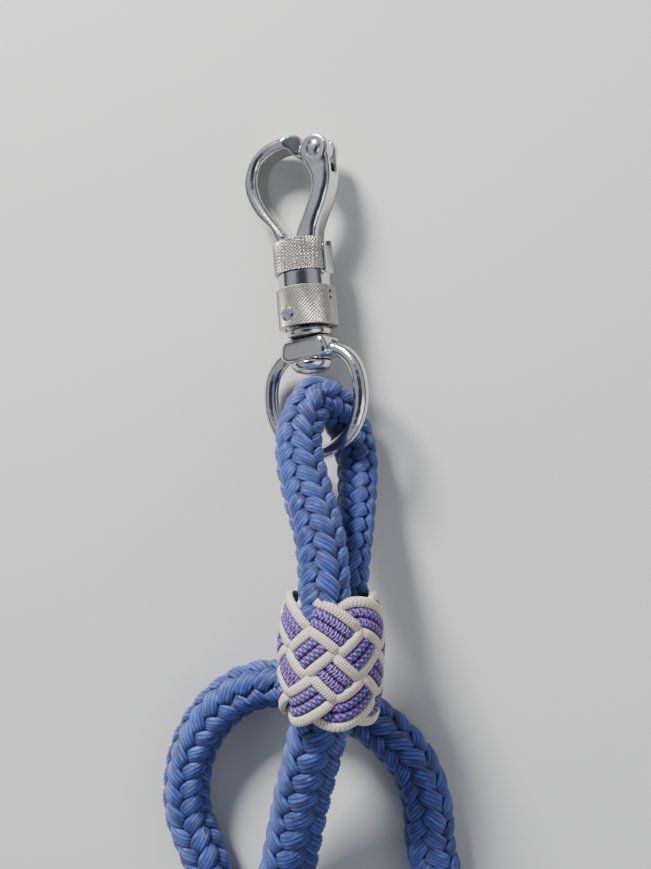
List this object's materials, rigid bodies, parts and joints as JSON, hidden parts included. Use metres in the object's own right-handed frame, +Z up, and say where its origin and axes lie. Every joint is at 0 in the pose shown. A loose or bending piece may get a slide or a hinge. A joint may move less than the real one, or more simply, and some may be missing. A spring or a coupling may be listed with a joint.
{
  "type": "braided rope lead",
  "caption": "Thick blue braided rope lead with a locking swivel snap hook, a spliced eye and a Turk's head knot in cream and patterned cord, coiled flat.",
  "frame": {"origin": "on the surface the lead lies on, under the middle of the snap, eye and knot", "axes": "+Y along the snap towards the hook's tip, +Z up"},
  "size_m": [0.198, 0.4947, 0.0592],
  "materials": {
    "polished_steel": "polished stainless steel",
    "knurled_steel": "fine diamond knurl",
    "blue_rope": "silky braided multifilament with dark flecks",
    "knot_cord": "woven cream and patterned cord",
    "whipping_cord": "cream whipping cord"
  },
  "bodies": {
    "lead": {"swivel_bow": "polished_steel", "rope_eye": "blue_rope", "turks_head_knot": "knot_cord", "standing_rope": "blue_rope", "rope_coil": "blue_rope", "arch_rope": "blue_rope", "end_whipping": "whipping_cord"},
    "snap": {"fixed_jaw": "polished_steel", "hinge_rivet": "polished_steel", "lower_barrel": "knurled_steel", "barrel_screw": "polished_steel", "swivel_post": "polished_steel", "swivel_washer": "polished_steel", "collar_spring": "polished_steel"},
    "collar": {"lock_collar": "knurled_steel"},
    "gate": {"gate_jaw": "polished_steel"}
  },
  "joints": [
    {"name": "swivel", "type": "hinge", "parent": "lead", "child": "snap", "pos_m": [-0.00148, 0.027, 0.01369], "axis": [0, 0.9981, -0.061], "continuous": true},
    {"name": "collar_slide", "type": "slide", "parent": "snap", "child": "collar", "axis": [0, -0.9981, 0.061], "range_m": [0, 0.0055], "stiffness_N_per_m": 400, "springref_m": -0.004, "deforming": ["collar_spring"]},
    {"name": "gate_swing", "type": "hinge", "parent": "snap", "child": "gate", "pos_m": [0.00858, 0.09952, 0.01186], "axis": [0.2504, -0.0591, -0.9663], "range_deg": [0, 75]}
  ],
  "couplings": [
    {"joint": "gate_swing", "follows": "collar_slide", "rad_per_m": 237}
  ]
}
